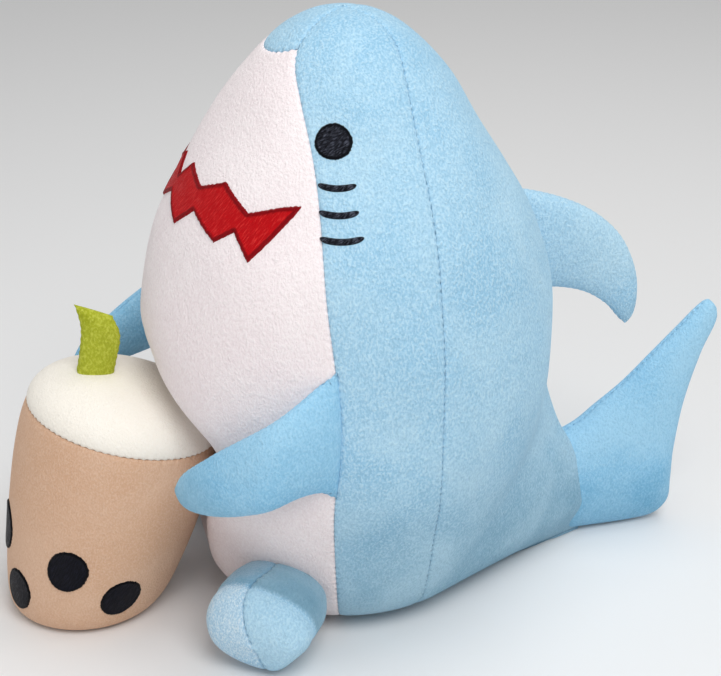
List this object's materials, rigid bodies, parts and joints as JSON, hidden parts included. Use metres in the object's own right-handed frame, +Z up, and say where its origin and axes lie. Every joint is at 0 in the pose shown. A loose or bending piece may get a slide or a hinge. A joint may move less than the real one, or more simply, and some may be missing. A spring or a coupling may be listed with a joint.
{
  "type": "plush shark",
  "caption": "Upright stuffed shark toy with a white belly, embroidered zigzag mouth, eyes and gills, hugging a stuffed bubble-tea cup with a straw; seam-hinged flippers, fins and feet",
  "frame": {"origin": "middle of the body where its base panel meets the floor", "axes": "+Z up along the body to the snout; -Y is the shark's front with the cup; +Y is the tail; +X is the shark's left side"},
  "size_m": [0.2106, 0.335, 0.26],
  "materials": {
    "blue_plush": "short velvet pile",
    "white_plush": "short velvet pile",
    "tan_plush": "short velvet pile",
    "cream_plush": "short velvet pile",
    "green_plush": "short velvet pile",
    "red_thread": "satin stitch embroidery",
    "navy_thread": "satin stitch embroidery",
    "fibre_filling": "loose polyester fibre"
  },
  "bodies": {
    "body": {"body_filling": "fibre_filling", "front_panel": "white_plush", "snout_panel": "blue_plush", "side_panel_left": "blue_plush", "back_panel_left": "blue_plush", "side_panel_right": "blue_plush", "back_panel_right": "blue_plush", "base_panel": "blue_plush", "mouth": "red_thread", "eye_left": "navy_thread", "gill_left_1": "navy_thread", "gill_left_2": "navy_thread", "gill_left_3": "navy_thread", "eye_right": "navy_thread", "gill_right_1": "navy_thread", "gill_right_2": "navy_thread", "gill_right_3": "navy_thread", "cup_wall": "tan_plush", "cup_base": "tan_plush", "cup_cream_top": "cream_plush", "cup_filling": "fibre_filling", "pearl_1": "navy_thread", "pearl_2": "navy_thread", "pearl_3": "navy_thread", "pearl_4": "navy_thread", "pearl_5": "navy_thread", "pearl_6": "navy_thread", "pearl_7": "navy_thread"},
    "flipper_left": {"flipper_left_outer_panel": "blue_plush", "flipper_left_inner_panel": "blue_plush", "flipper_left_filling": "fibre_filling"},
    "flipper_right": {"flipper_right_outer_panel": "blue_plush", "flipper_right_inner_panel": "blue_plush", "flipper_right_filling": "fibre_filling"},
    "dorsal_fin": {"dorsal_fin_left_panel": "blue_plush", "dorsal_fin_right_panel": "blue_plush", "dorsal_fin_filling": "fibre_filling"},
    "tail_fin": {"tail_fin_left_panel": "blue_plush", "tail_fin_right_panel": "blue_plush", "tail_fin_filling": "fibre_filling"},
    "foot_left": {"foot_left_outer_half": "blue_plush", "foot_left_inner_half": "blue_plush", "foot_left_filling": "fibre_filling"},
    "foot_right": {"foot_right_outer_half": "blue_plush", "foot_right_inner_half": "blue_plush", "foot_right_filling": "fibre_filling"},
    "straw": {"straw_left_panel": "green_plush", "straw_right_panel": "green_plush", "straw_filling": "fibre_filling"}
  },
  "joints": [
    {"name": "flipper_left_swing", "type": "hinge", "parent": "body", "child": "flipper_left", "pos_m": [0.09638, -0.03018, 0.11], "axis": [0, 0, 1], "range_deg": [0, 60], "stiffness_Nm_per_rad": 0.04},
    {"name": "flipper_right_swing", "type": "hinge", "parent": "body", "child": "flipper_right", "pos_m": [-0.09638, -0.03018, 0.11], "axis": [0, 0, -1], "range_deg": [0, 60], "stiffness_Nm_per_rad": 0.04},
    {"name": "dorsal_fin_sway", "type": "hinge", "parent": "body", "child": "dorsal_fin", "pos_m": [0, 0.10317, 0.13], "axis": [0, -0.2205, 0.9754], "range_deg": [-25, 25], "stiffness_Nm_per_rad": 0.04},
    {"name": "tail_fin_sway", "type": "hinge", "parent": "body", "child": "tail_fin", "pos_m": [0, 0.127, 0.02], "axis": [0, 0, 1], "range_deg": [-25, 25], "stiffness_Nm_per_rad": 0.08},
    {"name": "foot_left_swing", "type": "hinge", "parent": "body", "child": "foot_left", "pos_m": [0.07143, -0.05581, 0.02], "axis": [0, 0, 1], "range_deg": [-15, 15], "stiffness_Nm_per_rad": 0.06},
    {"name": "foot_right_swing", "type": "hinge", "parent": "body", "child": "foot_right", "pos_m": [-0.07143, -0.05581, 0.02], "axis": [0, 0, -1], "range_deg": [-15, 15], "stiffness_Nm_per_rad": 0.06},
    {"name": "straw_bend", "type": "hinge", "parent": "body", "child": "straw", "pos_m": [0, -0.10899, 0.11273], "axis": [0, 0.9744, -0.225], "range_deg": [-20, 20], "stiffness_Nm_per_rad": 0.01}
  ]
}
